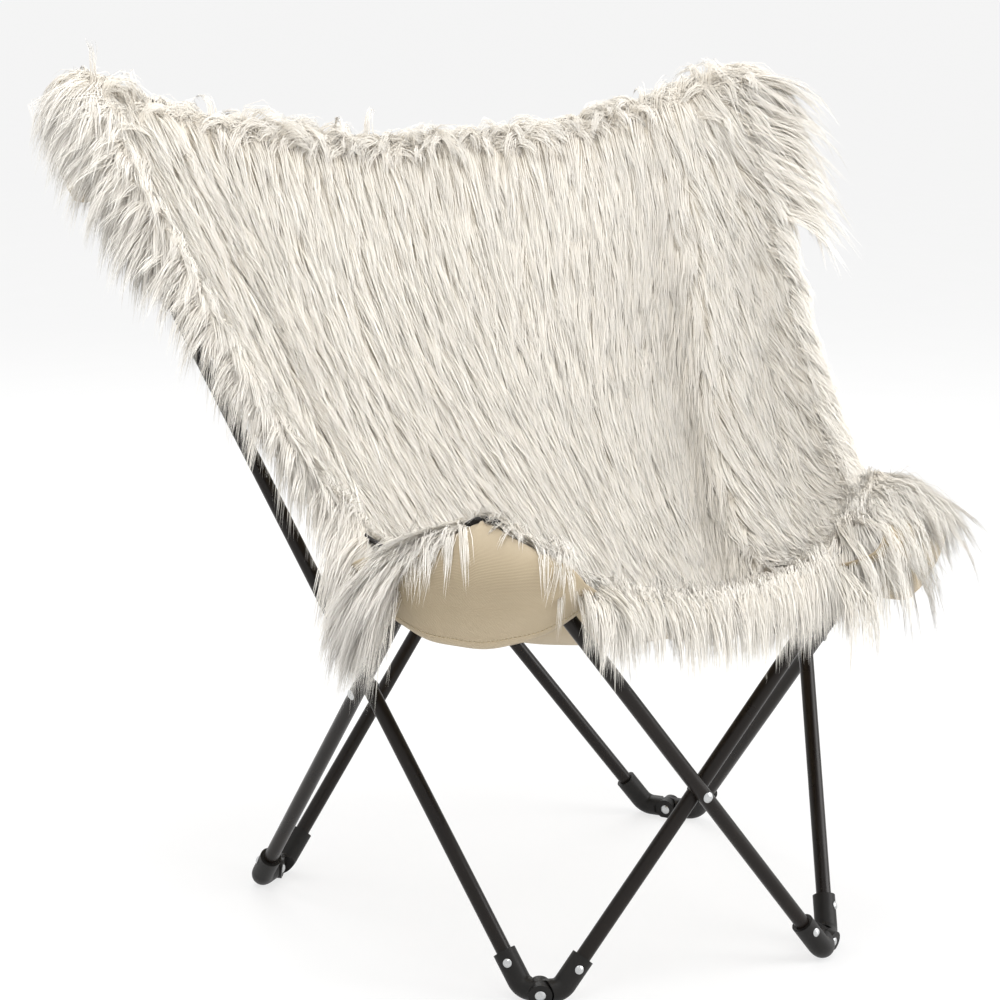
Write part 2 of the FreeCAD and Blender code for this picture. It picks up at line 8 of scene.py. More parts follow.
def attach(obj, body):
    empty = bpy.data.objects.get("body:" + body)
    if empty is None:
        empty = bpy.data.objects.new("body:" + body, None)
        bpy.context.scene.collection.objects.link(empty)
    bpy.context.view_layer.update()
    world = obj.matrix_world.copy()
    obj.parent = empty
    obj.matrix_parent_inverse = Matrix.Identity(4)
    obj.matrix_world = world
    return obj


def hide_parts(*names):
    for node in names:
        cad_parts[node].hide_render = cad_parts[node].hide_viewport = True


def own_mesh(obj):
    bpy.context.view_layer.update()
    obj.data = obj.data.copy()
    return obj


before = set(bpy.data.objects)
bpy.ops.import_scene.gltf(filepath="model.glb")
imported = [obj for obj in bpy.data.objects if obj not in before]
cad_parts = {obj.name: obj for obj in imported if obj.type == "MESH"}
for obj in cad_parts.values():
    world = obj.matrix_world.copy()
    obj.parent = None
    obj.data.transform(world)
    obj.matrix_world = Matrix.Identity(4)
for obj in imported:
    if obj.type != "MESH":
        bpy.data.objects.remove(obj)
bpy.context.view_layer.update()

# The camera stands in front of the chair and to its left, a little above the seat. Its long lens keeps
# the tubes nearly parallel, and the small roll is the lean of the photograph's frame.
CAMERA_TURN, CAMERA_TILT, CAMERA_ROLL = (math.radians(angle) for angle in (-27.6, 11.3, 0.58))
CAMERA_AIM = Vector((-0.066, -0.0053, 0.451))
CAMERA_DISTANCE, CAMERA_LENS, CAMERA_SENSOR = 3.068, 102, 36
camera = bpy.data.objects.new("camera", bpy.data.cameras.new("camera"))
bpy.context.scene.collection.objects.link(camera)
toward_camera = Vector((
    math.sin(CAMERA_TURN) * math.cos(CAMERA_TILT),
    -math.cos(CAMERA_TURN) * math.cos(CAMERA_TILT),
    math.sin(CAMERA_TILT)))
camera.location = CAMERA_AIM + CAMERA_DISTANCE * toward_camera
camera.rotation_mode = "QUATERNION"
level = (-toward_camera).to_track_quat("-Z", "Y")
camera.rotation_quaternion = level @ Quaternion((0, 0, 1), CAMERA_ROLL)
camera.data.sensor_width = CAMERA_SENSOR
camera.data.lens = CAMERA_LENS
bpy.context.scene.camera = camera


# Eight steel tubes, 16 mm across, in four scissor pairs. They are powder coated black before the
# rivets go in, so the coat is an even satin with a faint orange peel.
def linear(code):
    """Linear colour of an sRGB hex value."""
    parts = [int(code[place:place + 2], 16) / 255 for place in (1, 3, 5)]
    return tuple(part / 12.92 if part <= 0.04045 else ((part + 0.055) / 1.055) ** 2.4 for part in parts) + (1,)


def add(tree, kind, sockets=(), **settings):
    """Add a node with its settings; each socket takes a number, a colour or a link from another node."""
    node = tree.nodes.new("ShaderNode" + kind)
    for name, value in settings.items():
        setattr(node, name, value)
    for name, value in dict(sockets).items():
        if isinstance(value, bpy.types.Node):
            value = value.outputs[0]
        if isinstance(value, bpy.types.NodeSocket):
            tree.links.new(value, node.inputs[name])
        else:
            node.inputs[name].default_value = value
    return node


def new_finish(name):
    """An empty material and its tree."""
    material = bpy.data.materials.new(name)
    material.use_nodes = True
    material.node_tree.nodes.clear()
    return material, material.node_tree


# Powder coat on steel: a thick baked film, dark brown-black, satin, with an orange peel of about 2.5 mm
coated_steel, tree = new_finish("powder_coated_steel")
place = add(tree, "TexCoord").outputs["Object"]
cloud = add(tree, "TexNoise", {"Vector": place, "Scale": 1 / 0.05, "Detail": 4})
peel = add(tree, "TexNoise", {"Vector": place, "Scale": 1 / 0.0025, "Detail": 1})
scuff = add(tree, "TexNoise", {"Vector": place, "Scale": 1 / 0.012, "Detail": 6, "Roughness": 0.7})
worn = add(tree, "MapRange", {"Value": scuff, "From Min": 0.66, "From Max": 0.78})
film = add(tree, "MixRGB", {"Fac": cloud, "Color1": linear("#120E0B"), "Color2": linear("#1E1814")})
film = add(tree, "MixRGB", {"Fac": worn, "Color1": film, "Color2": linear("#302923")})
satin = add(tree, "MapRange", {"Value": cloud, "From Min": 0.3, "From Max": 0.7, "To Min": 0.24, "To Max": 0.36})
bump = add(tree, "Bump", {"Height": peel, "Strength": 0.12, "Distance": 0.0004})
surface = add(tree, "BsdfPrincipled", {
    "Base Color": film, "Roughness": satin, "Normal": bump, "IOR": 1.5, "Specular IOR Level": 0.24})
add(tree, "OutputMaterial", {"Surface": surface})


def give(node, material):
    """Put a material in every slot of a CAD node."""
    for slot in node.material_slots:
        slot.material = material


for name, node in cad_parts.items():
    if name.endswith(("_inner", "_outer", "_long", "_short")) and "_rail_" in name:
        give(node, coated_steel)

# Elbow hinges on the lower tube ends and domed caps on the upper ones. They are injection moulded in
# black nylon with a fine eroded grain, and pushed onto the tubes.
moulded_nylon, tree = new_finish("moulded_nylon")
place = add(tree, "TexCoord").outputs["Object"]
cloud = add(tree, "TexNoise", {"Vector": place, "Scale": 1 / 0.02, "Detail": 3})
# The grain of an eroded mould is about 0.2 mm; it is drawn at 0.9 mm to show
grain = add(tree, "TexNoise", {"Vector": place, "Scale": 1 / 0.0009, "Detail": 2})
black = add(tree, "MixRGB", {"Fac": cloud, "Color1": linear("#100F0E"), "Color2": linear("#1D1B19")})
dull = add(tree, "MapRange", {"Value": grain, "From Min": 0.3, "From Max": 0.7, "To Min": 0.4, "To Max": 0.55})
bump = add(tree, "Bump", {"Height": grain, "Strength": 0.25, "Distance": 0.0003})
surface = add(tree, "BsdfPrincipled", {
    "Base Color": black, "Roughness": dull, "Normal": bump, "IOR": 1.53, "Specular IOR Level": 0.24})
add(tree, "OutputMaterial", {"Surface": surface})
for name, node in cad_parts.items():
    if name.endswith(("_elbow", "_cap")):
        give(node, moulded_nylon)

# Rivets: solid hinge rivets at the crossings and feet, small pop rivets through the sockets. They are
# steel with a bright zinc plating, a little clouded where they were set.
zinc_plate, tree = new_finish("zinc_plated_steel")
place = add(tree, "TexCoord").outputs["Object"]
cloud = add(tree, "TexNoise", {"Vector": place, "Scale": 1 / 0.004, "Detail": 4})
metal = add(tree, "MixRGB", {"Fac": cloud, "Color1": linear("#A9ABAC"), "Color2": linear("#D9DADA")})
shine = add(tree, "MapRange", {"Value": cloud, "From Min": 0.3, "From Max": 0.7, "To Min": 0.2, "To Max": 0.38})
dents = add(tree, "TexNoise", {"Vector": place, "Scale": 1 / 0.0015, "Detail": 1})
bump = add(tree, "Bump", {"Height": dents, "Strength": 0.15, "Distance": 0.0003})
surface = add(tree, "BsdfPrincipled", {"Base Color": metal, "Metallic": 1, "Roughness": shine, "Normal": bump})
add(tree, "OutputMaterial", {"Surface": surface})
for name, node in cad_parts.items():
    if "_rivet" in name:
        give(node, zinc_plate)

# Canvas lining under the pile: a khaki plain weave cut in four panels, joined by a middle seam and a cross
# seam, and hung from the corner pockets. It takes the sling's shape: a seat hollow, and a wing each side.
SIDE_EDGE = [
    (-0.23404, -0.28795, 0.51294), (-0.3, -0.2103, 0.325), (-0.338, 0.0247, 0.575), (-0.42799, 0.3054, 0.89861)]
MIDDLE_LINE = [(0, -0.3573, 0.402), (0, -0.0703, 0.225), (0, 0.1347, 0.33), (0, 0.3467, 0.812)]
FRONT_FOLD, TOP_FOLD = 0.3, 0.16
LIP_FOLD_DEPTH, FOLD_DEPTH = 0.003, 0.016
ACROSS, ALONG = 129, 121
MIRROR, TINY = np.array((-1, 1, 1)), 1e-9


def unit(way):
    """Ways of length one."""
    return way / np.linalg.norm(way, axis=-1, keepdims=True)


def run_along(line):
    """Distance along a line of points, at each of them."""
    return np.linalg.norm(np.diff(line, axis=0, prepend=line[:1]), axis=1).cumsum()


def at_places(values, run, places):
    """Values along a line, read at distances from its start."""
    return np.stack([np.interp(places, run, values[:, axis]) for axis in range(3)], -1)


def cubic(pulls, share):
    """Point of a cubic curve drawn by its four pull points."""
    share = np.asarray(share)[..., None]
    rest = 1 - share
    weights = (rest ** 3, 3 * share * rest ** 2, 3 * share ** 2 * rest, share ** 3)
    return sum(weight * np.array(pull) for weight, pull in zip(weights, pulls))


def arc_centre(start, middle, end):
    """Centre of the circle through three points."""
    first, second = middle - start, end - start
    normal = np.cross(first, second)
    lift = np.cross(normal, first) * (second @ second) + np.cross(second, normal) * (first @ first)
    return start + lift / (2 * normal @ normal)


def arc_points(start, middle, end, shares):
    """Points at shares of the arc through three points."""
    centre = arc_centre(start, middle, end)
    first = unit(start - centre)
    second = unit(np.cross(np.cross(middle - start, end - start), first))
    reach = np.linalg.norm(start - centre)
    turn = math.atan2((end - centre) @ second, (end - centre) @ first) % (2 * math.pi)
    angles = np.asarray(shares)[:, None] * turn
    return centre + reach * (np.cos(angles) * first + np.sin(angles) * second)


def fold_at(share):
    """Share of a cross section that lies on one wing."""
    return FRONT_FOLD + (TOP_FOLD - FRONT_FOLD) * share


def wing_arc(share):
    """Start, middle and end of the left wing's arc, and the middle line's point."""
    edge, middle = cubic(SIDE_EDGE, share), cubic(MIDDLE_LINE, share)
    centre = arc_centre(edge, middle, edge * MIRROR)
    fold_share = fold_at(share)
    on_wing, on_fold = arc_points(edge, middle, edge * MIRROR, (fold_share / 2, fold_share))
    depth = LIP_FOLD_DEPTH + (FOLD_DEPTH - LIP_FOLD_DEPTH) * math.sin(math.pi * share)
    return edge, on_wing + unit(on_wing - centre) * depth / 3, on_fold + unit(on_fold - centre) * depth, middle


def section(share):
    """Points of one cross section of the sling, from its left edge to its right edge."""
    edge, wing, fold, middle = wing_arc(share)
    fold_share = fold_at(share)
    shares = np.linspace(0, 0.5, ACROSS // 2 + 1)
    left = np.where(
        (shares < fold_share)[:, None],
        arc_points(edge, wing, fold, np.minimum(shares / fold_share, 1)),
        arc_points(fold, middle, fold * MIRROR, np.maximum((shares - fold_share) / (1 - 2 * fold_share), 0)))
    return np.vstack((left, left[-2::-1] * MIRROR))


def grid_normals(points):
    """Normals of a grid of points, to the side that the sitter sees."""
    over, up = np.gradient(points, axis=1), np.gradient(points, axis=0)
    return unit(np.cross(over, up))


def read(grid, over, up):
    """Values of a grid at places over and up the sling, both from 0 to 1."""
    column, row = np.clip(over, 0, 1) * (ACROSS - 1), np.clip(up, 0, 1) * (ALONG - 1)
    left = np.minimum(column.astype(int), ACROSS - 2)
    low = np.minimum(row.astype(int), ALONG - 2)
    right_share, top_share = (column - left)[..., None], (row - low)[..., None]
    bottom = grid[low, left] * (1 - right_share) + grid[low, left + 1] * right_share
    top = grid[low + 1, left] * (1 - right_share) + grid[low + 1, left + 1] * right_share
    return bottom * (1 - top_share) + top * top_share


sling = np.array([section(share) for share in np.linspace(0, 1, ALONG)])
over, up = np.meshgrid(np.linspace(0, 1, ACROSS), np.linspace(0, 1, ALONG))
# A wing rolls forward in a soft ridge beside its fold, where the cloth hangs slack
RIDGE, RIDGE_WIDE, RIDGE_PLACE, RIDGE_FADE = 0.03, 0.042, 0.78, 0.8
nearer_side = np.minimum(over, 1 - over)
ridge = np.exp(-((nearer_side - RIDGE_PLACE * fold_at(up)) / RIDGE_WIDE) ** 2) * np.sin(math.pi * up) ** RIDGE_FADE
# Shallow pull creases run from each corner towards the seat and die out; they only lift the cloth inwards
CREASE_RISE, CREASE_TURNS, CREASE_BEND = 0.003, 26, 3
CREASE_FROM, CREASE_LONG, CREASE_EDGE = 0.22, 0.16, 7
inside = np.minimum(nearer_side * CREASE_EDGE, np.minimum(up, 1 - up) * CREASE_EDGE).clip(0, 1)
creases = np.zeros_like(over)
for corner_over, corner_up in ((0, 0), (1, 0), (0, 1), (1, 1)):
    away = np.hypot(over - corner_over, up - corner_up)
    angle = np.arctan2(np.abs(up - corner_up), np.abs(over - corner_over))
    wave = 0.5 + 0.5 * np.sin(angle * CREASE_TURNS + CREASE_BEND * away)
    creases += wave * np.exp(-((away - CREASE_FROM) / CREASE_LONG) ** 2)
sling = sling + grid_normals(sling) * (RIDGE * ridge + CREASE_RISE * creases * inside)[..., None]
# The cloth turns over a wing fold in a soft round, not a crease
SMOOTHINGS, SMOOTHING = 6, 0.25
for _ in range(SMOOTHINGS):
    sling[:, 1:-1] += SMOOTHING * (sling[:, :-2] + sling[:, 2:] - 2 * sling[:, 1:-1])
# The four corners are cut round: places on the square cut move in towards a rounded square
FRONT_ROUNDING, TOP_ROUNDING = 16, 60
rounding = FRONT_ROUNDING + (TOP_ROUNDING - FRONT_ROUNDING) * up
square = np.stack((2 * over - 1, 2 * up - 1))
rounded = (np.abs(square) ** rounding).sum(0) ** (1 / rounding)
square = square * np.abs(square).max(0) / np.maximum(rounded, TINY)
sling = read(sling, (square[0] + 1) / 2, (square[1] + 1) / 2)
sling_normals = grid_normals(sling)


def new_piece(name, points, faces, material, smooth=True):
    """A new object with its mesh and material."""
    mesh = bpy.data.meshes.new(name)
    mesh.from_pydata(points, [], faces)
    mesh.materials.append(material)
    mesh.polygons.foreach_set("use_smooth", np.full(len(mesh.polygons), smooth))
    piece = bpy.data.objects.new(name, mesh)
    bpy.context.scene.collection.objects.link(piece)
    return piece


def lay_flat(piece, flat):
    """Give a piece's points their places on the cut cloth as UV."""
    layer = piece.data.uv_layers.new(name="cut")
    corner_points = np.empty(len(piece.data.loops), int)
    piece.data.loops.foreach_get("vertex_index", corner_points)
    layer.data.foreach_set("uv", flat[corner_points].ravel())


def cloth(name, top, bottom, material):
    """A closed cloth between two grids of points, with its cut measured along and across as UV."""
    rows, columns = top.shape[:2]
    under = rows * columns
    index = np.arange(under).reshape(rows, columns)
    upper = np.stack((index[:-1, :-1], index[:-1, 1:], index[1:, 1:], index[1:, :-1]), -1).reshape(-1, 4)
    lower = upper[:, ::-1] + under
    rim = np.concatenate((index[0], index[1:, -1], index[-1, -2::-1], index[-2:0:-1, 0]))
    after = np.roll(rim, -1)
    wall = np.stack((after, rim, rim + under, after + under), -1)
    piece = new_piece(
        name, np.concatenate((top.reshape(-1, 3), bottom.reshape(-1, 3))).tolist(),
        np.concatenate((upper, lower, wall)).tolist(), material)
    step_over = np.linalg.norm(np.diff(top, axis=1, prepend=top[:, :1]), axis=2).cumsum(1)
    step_up = np.linalg.norm(np.diff(top, axis=0, prepend=top[:1]), axis=2).cumsum(0)
    lay_flat(piece, np.tile(np.stack((step_over, step_up), -1).reshape(-1, 2), (2, 1)))
    return piece


def cut_size(grid):
    """Width, length and area that a grid of points has laid flat."""
    wide = np.linalg.norm(np.diff(grid, axis=1), axis=2).sum(1)
    long = np.linalg.norm(np.diff(grid, axis=0), axis=2).sum(0)
    over, up = grid[:-1, 1:] - grid[:-1, :-1], grid[1:, :-1] - grid[:-1, :-1]
    area = np.linalg.norm(np.cross(over, up), axis=2).sum()
    return wide.max(), long.max(), area


# Cotton canvas, plain woven and dyed khaki: matt, with threads that show close up. The real threads are
# 0.7 mm apart; they are drawn 1.5 mm apart to show. A wave texture of scale 1 has its bands WAVE_BAND apart.
WAVE_BAND, THREAD = 2 * math.pi / 20, 0.0015
canvas, tree = new_finish("khaki_cotton_canvas")
flat_place = add(tree, "TexCoord").outputs["UV"]
bands = WAVE_BAND / THREAD
warp = add(tree, "TexWave", {"Vector": flat_place, "Scale": bands, "Distortion": 0.6, "Detail": 1},
           bands_direction="X").outputs["Fac"]
weft = add(tree, "TexWave", {"Vector": flat_place, "Scale": bands, "Distortion": 0.6, "Detail": 1},
           bands_direction="Y").outputs["Fac"]
weave = add(tree, "MixRGB", {"Fac": 0.5, "Color1": warp, "Color2": weft})
slub = add(tree, "TexNoise", {"Vector": flat_place, "Scale": 1 / 0.006, "Detail": 5})
fade = add(tree, "TexNoise", {"Vector": flat_place, "Scale": 1 / 0.09, "Detail": 3})
khaki = add(tree, "MixRGB", {"Fac": fade, "Color1": linear("#AB9A7C"), "Color2": linear("#BFAE93")})
khaki = add(tree, "MixRGB", {"Fac": slub, "Color1": khaki, "Color2": linear("#B2A286")})
threads = add(tree, "MapRange", {"Value": weave, "To Min": 0.78, "To Max": 1.08})
khaki = add(tree, "MixRGB", {"Fac": 1, "Color1": khaki, "Color2": threads}, blend_type="MULTIPLY")
matt = add(tree, "MapRange", {"Value": weave, "To Min": 0.92, "To Max": 0.78})
bump = add(tree, "Bump", {"Height": weave, "Strength": 0.5, "Distance": 0.0006})
surface = add(tree, "BsdfPrincipled", {
    "Base Color": khaki, "Roughness": matt, "Normal": bump, "Sheen Weight": 0.15, "Sheen Roughness": 0.6})
add(tree, "OutputMaterial", {"Surface": surface})

# Each quarter of the cover goes with the tube in the front pocket of its side
HALF, CROSS = ACROSS // 2, 58
QUARTERS = {
    "front_left": (slice(0, CROSS + 1), slice(0, HALF + 1)),
    "front_right": (slice(0, CROSS + 1), slice(HALF, ACROSS)),
    "back_left": (slice(CROSS, ALONG), slice(0, HALF + 1)),
    "back_right": (slice(CROSS, ALONG), slice(HALF, ACROSS)),
}
GOES_WITH = {"left": "front_outer", "right": "front_inner"}


def fold_with(piece, corner):
    """Let a soft piece go with the front tube of its side, with a mesh of its own."""
    side = corner.split("_")[1]
    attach(piece, GOES_WITH[side])
    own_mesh(piece)


LINING_NEAR, LINING_FAR = 0.0004, 0.002
for corner, quarter in QUARTERS.items():
    middle, normals = sling[quarter], sling_normals[quarter]
    piece = cloth("lining_" + corner, middle - normals * LINING_NEAR, middle - normals * LINING_FAR, canvas)
    wide, long, area = cut_size(middle)
    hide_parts("canvas_lining")
    fold_with(piece, corner)

# Corner pockets: curved canvas panels sewn to the cover's corners, slipped over the tube ends. Each has a
# turned hem with a row of stitches, and pulls into shallow gathers over the caps.
TUBE_TIPS = {"front": np.array((-0.24711, -0.30387, 0.46394)), "back": np.array((-0.42308, 0.30196, 0.85261))}
OUTWARD = {"front": np.array((-0.63439, -0.77301, 0)), "back": np.array((-0.81853, 0.57446, 0))}
END_WAY = {"front": np.array((0, -1.0, 0)), "back": np.array((0, 1.0, 0))}
CORNER_OUT = {"front": -0.0206, "back": 0.006}
POCKET_SIDE, POCKET_RIM = {"front": 0.28, "back": 0.13}, {"front": 0.84, "back": 1}
POCKET_CLEAR, POCKET_THICK = 0.0026, 0.0016
# For each arc of a panel: its share of the way to the hem, level, and reach outwards, sideways and to the rim
POCKET_ARCS = ((0.15, 0.044, 0.014, 0.028, 0.008), (0.6, 0, 0.032, 0.054, 0.041), (1, -0.084, 0.014, 0.028, 0))
PANEL_ACROSS, PANEL_DOWN, BELLY_PLACE = 81, 41, 0.37
TOP_SEAM, TOP_BULGE, PANEL_FULL, FULL_TO = 13, 0.004, 0.006, 0.7
GATHER_TURNS, GATHER_SWAY, GATHER_BENDS, GATHER_RISE = 34, 2, 3, 0.0016
HEM, HEM_RISE, HEM_ROUND = 0.014, 0.0009, 0.0006
STITCH_ABOVE_HEM, STITCH_PITCH = 0.009, 0.0044


def pocket_panel(end):
    """Grid of points of a left pocket's inner face, from its top to its hem."""
    rim_edge, rim_wing, rim_fold, _ = wing_arc(0 if end == "front" else 1)
    rim_centre = arc_centre(rim_edge, rim_wing, rim_fold)
    arcs = []
    for number, (share, level, reach, side_reach, rim_reach) in enumerate(POCKET_ARCS):
        on_edge = share * POCKET_SIDE[end]
        edge, wing, fold, _ = wing_arc(on_edge if end == "front" else 1 - on_edge)
        centre = arc_centre(edge, wing, fold)
        on_side = edge + unit(edge - centre) * POCKET_CLEAR + np.array((-side_reach, 0, 0))
        on_rim = arc_points(rim_edge, rim_wing, rim_fold, [share * POCKET_RIM[end]])[0]
        on_rim = on_rim + unit(on_rim - rim_centre) * POCKET_CLEAR + END_WAY[end] * rim_reach
        belly_reach = reach + (CORNER_OUT[end] if number == 0 else 0)
        belly = TUBE_TIPS[end] + OUTWARD[end] * belly_reach + np.array((0, 0, level))
        arcs.append(arc_points(on_side, belly, on_rim, np.linspace(0, 1, PANEL_ACROSS)))
    if end == "front":
        # The top of the panel is sewn under the rounded corner of the cloth
        corner_line = np.concatenate((sling[TOP_SEAM::-1, 0], sling[0, 1:TOP_SEAM]))
        corner_under = np.concatenate((sling_normals[TOP_SEAM::-1, 0], sling_normals[0, 1:TOP_SEAM]))
        corner_line = corner_line - corner_under * POCKET_CLEAR + OUTWARD[end] * TOP_BULGE
        run = run_along(corner_line)
        arcs[0] = at_places(corner_line, run, np.linspace(0, run[-1], PANEL_ACROSS))
    down = np.linspace(0, 1, PANEL_DOWN)[:, None, None]
    top, belly, hem = (arc[None] for arc in arcs)
    panel = (
        top * (down - BELLY_PLACE) * (down - 1) / BELLY_PLACE
        + belly * down * (down - 1) / (BELLY_PLACE * (BELLY_PLACE - 1))
        + hem * down * (down - BELLY_PLACE) / (1 - BELLY_PLACE))
    # The front panels are fuller where they go over the caps
    full = PANEL_FULL * np.sin(math.pi * np.clip(down / FULL_TO, 0, 1)) * (end == "front")
    return panel - grid_normals(panel) * full


# Cotton sewing thread, twisted: a shade lighter than the canvas
thread, tree = new_finish("cotton_sewing_thread")
place = add(tree, "TexCoord").outputs["Object"]
twist = add(tree, "TexNoise", {"Vector": place, "Scale": 1 / 0.001, "Detail": 2})
cotton = add(tree, "MixRGB", {"Fac": twist, "Color1": linear("#A99672"), "Color2": linear("#D6C7A8")})
matt = add(tree, "MapRange", {"Value": twist, "To Min": 0.65, "To Max": 0.85})
bump = add(tree, "Bump", {"Height": twist, "Strength": 0.4, "Distance": 0.0004})
surface = add(tree, "BsdfPrincipled", {"Base Color": cotton, "Roughness": matt, "Normal": bump})
add(tree, "OutputMaterial", {"Surface": surface})
STITCH_LONG, STITCH_RADIUS, STITCH_BOW, STITCH_SIDES = 0.0032, 0.00055, 0.6, 6
STITCH_PLACES = np.array((-0.5, -0.42, -0.2, 0.2, 0.42, 0.5))
STITCH_FULL = np.array((0.3, 0.75, 1, 1, 0.75, 0.3))


def stitch_row(name, line, normals):
    """A row of short thread stitches along a line on the cloth."""
    run = run_along(line)
    places = np.arange(STITCH_PITCH, run[-1] - STITCH_PITCH, STITCH_PITCH)
    middles, outs = at_places(line, run, places), unit(at_places(normals, run, places))
    ways = unit(np.gradient(middles, axis=0))
    sides = np.cross(ways, outs)
    turns = np.linspace(0, 2 * math.pi, STITCH_SIDES + 1)[:-1]
    bow = 1 - (2 * STITCH_PLACES) ** 2
    points = (
        middles[:, None, None] + ways[:, None, None] * (STITCH_PLACES * STITCH_LONG)[:, None, None]
        + outs[:, None, None] * (STITCH_RADIUS * STITCH_BOW * bow)[:, None, None]
        + STITCH_RADIUS * STITCH_FULL[:, None, None] * (
            np.cos(turns)[:, None] * outs[:, None, None] + np.sin(turns)[:, None] * sides[:, None, None]))
    index = np.arange(len(STITCH_PLACES) * STITCH_SIDES).reshape(-1, STITCH_SIDES)
    after = np.roll(index, -1, axis=1)
    walls = np.stack((index[:-1], after[:-1], after[1:], index[1:]), -1).reshape(-1, 4)
    starts = (np.arange(len(places)) * index.size)[:, None, None]
    faces = (starts + walls).reshape(-1, 4).tolist()
    faces += (starts + np.stack((index[0, ::-1], index[-1]))).reshape(-1, STITCH_SIDES).tolist()
    return new_piece(name, points.reshape(-1, 3).tolist(), faces, thread)


front_pocket_faces = []
for end in ("front", "back"):
    for side in ("left", "right"):
        corner = end + "_" + side
        inner = pocket_panel(end)
        if side == "right":
            inner = (inner * MIRROR)[:, ::-1]
        outs = -grid_normals(inner)
        drop = np.linalg.norm(np.diff(inner, axis=0, prepend=inner[:1]), axis=2).cumsum(0)
        to_hem = drop[-1] - drop
        across, down = np.meshgrid(np.linspace(0, 1, PANEL_ACROSS), np.linspace(0, 1, PANEL_DOWN))
        wave = 0.5 + 0.5 * np.sin(across * GATHER_TURNS + GATHER_SWAY * np.sin(down * GATHER_BENDS))
        gathers = wave * np.sin(math.pi * across) * down
        turned = HEM_RISE * (1 / (1 + np.exp((to_hem - HEM) / HEM_ROUND)))
        outer = inner + outs * (POCKET_THICK + GATHER_RISE * gathers + turned)[..., None]
        piece = cloth(corner + "_pocket_panel", outer, inner, canvas)
        if end == "front":
            front_pocket_faces.append([grid[::2, ::2].reshape(-1, 3) for grid in (outer, outs)])
        wide, long, area = cut_size(inner)
        seam = np.argmin(np.abs(to_hem - STITCH_ABOVE_HEM), axis=0)
        columns = np.arange(PANEL_ACROSS)
        stitches = stitch_row(corner + "_pocket_stitches", outer[seam, columns], outs[seam, columns])
        for item in (piece, stitches):
            fold_with(item, corner)
        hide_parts(corner + "_pocket")

# Pile fabric on the sitter's side: a knitted ivory backing with long straight acrylic fibre combed down
# from the top edge to the front. The fibre lies in pointed locks and hangs over the bound edges.
BACKING = 0.0025
# Knit of acrylic yarn: matt, seen only between the locks; its beige is painted shade from the gaps of the pile
knit, tree = new_finish("knitted_acrylic_backing")
flat_place = add(tree, "TexCoord").outputs["UV"]
loops = add(tree, "TexVoronoi", {"Vector": flat_place, "Scale": 1 / 0.002}, feature="SMOOTH_F1").outputs["Distance"]
patch = add(tree, "TexNoise", {"Vector": flat_place, "Scale": 1 / 0.03, "Detail": 4})
yarn_painted_shade = add(tree, "MixRGB", {"Fac": patch, "Color1": linear("#E2D8C6"), "Color2": linear("#EEE7DA")})
# Painted shade in the hollows between the knit's loops
shade = add(tree, "MapRange", {"Value": loops, "To Min": 1.05, "To Max": 0.8})
yarn_painted_shade = add(tree, "MixRGB", {"Fac": 1, "Color1": yarn_painted_shade, "Color2": shade}, blend_type="MULTIPLY")
matt = add(tree, "MapRange", {"Value": loops, "To Min": 0.85, "To Max": 0.95})
bump = add(tree, "Bump", {"Height": loops, "Strength": 0.6, "Distance": 0.001}, invert=True)
surface = add(tree, "BsdfPrincipled", {"Base Color": yarn_painted_shade, "Roughness": matt, "Normal": bump})
add(tree, "OutputMaterial", {"Surface": surface})

# Acrylic pile fibre, drawn and crimped: ivory, nearly white at the tip, darker and warmer towards the root as painted
# shade from deep in the coat, with a soft lustre along the lock. One strand of the mesh stands for a few dozen fibres.
pile, tree = new_finish("acrylic_pile_fibre")
along = add(tree, "Attribute", attribute_name="along").outputs["Fac"]
tone = add(tree, "Attribute", attribute_name="tone").outputs["Fac"]
place = add(tree, "TexCoord").outputs["Object"]
patch = add(tree, "TexNoise", {"Vector": place, "Scale": 1 / 0.05, "Detail": 3})
# Painted shade: each strand is darker and warmer towards its root, deep in the coat
fibre_and_painted_shade = add(tree, "MixRGB", {"Fac": along, "Color1": linear("#E8DFD0"), "Color2": linear("#F8F5EF")})
warm = add(tree, "MapRange", {"Value": tone, "To Min": 0, "To Max": 0.6})
fibre_and_painted_shade = add(tree, "MixRGB", {"Fac": warm, "Color1": fibre_and_painted_shade, "Color2": linear("#F0EBE1")})
uneven = add(tree, "MapRange", {"Value": patch, "From Min": 0.3, "From Max": 0.7, "To Min": 0.95, "To Max": 1.02})
fibre_and_painted_shade = add(tree, "MixRGB", {"Fac": 1, "Color1": fibre_and_painted_shade, "Color2": uneven}, blend_type="MULTIPLY")
lustre = add(tree, "MapRange", {"Value": tone, "To Min": 0.45, "To Max": 0.62})
crimp = add(tree, "TexNoise", {"Vector": place, "Scale": 1 / 0.003, "Detail": 2})
bump = add(tree, "Bump", {"Height": crimp, "Strength": 0.15, "Distance": 0.0005})
surface = add(tree, "BsdfPrincipled", {"Base Color": fibre_and_painted_shade, "Roughness": lustre, "Normal": bump, "IOR": 1.3})
add(tree, "OutputMaterial", {"Surface": surface})

LOCK_SPACING, LOCK_RADIUS, STRANDS = 0.0118, 0.0082, 15
SHARES = np.array((0, 0.16, 0.4, 0.7, 1))
STRAND_WIDE, STRAND_DEEP = 0.00075, 0.0003
STRAND_TAPER = np.array((0.7, 1, 1, 0.75))
STRAY, EDGE_FADE, ROW_SAMPLES = 0.48, 0.07, 60
POCKET_UP, POCKET_OVER, POCKET_SHORT = 0.07, 0.27, 0.45
FRONT_LOCKS, POCKET_LOCKS, LOW_LOCKS, CROWN_LOCKS, TOP_CORNER_LOCKS = 520, 130, 460, 1050, 190
DOWN = np.array((0, 0, -1.0))
chance = np.random.default_rng(7)
over_step = np.gradient(sling, 1 / (ACROSS - 1), axis=1)
up_step = np.gradient(sling, 1 / (ALONG - 1), axis=0)
coat = {name: [] for name in ("over", "up", "length", "lift", "splay", "rise", "lean", "curl", "weight")}


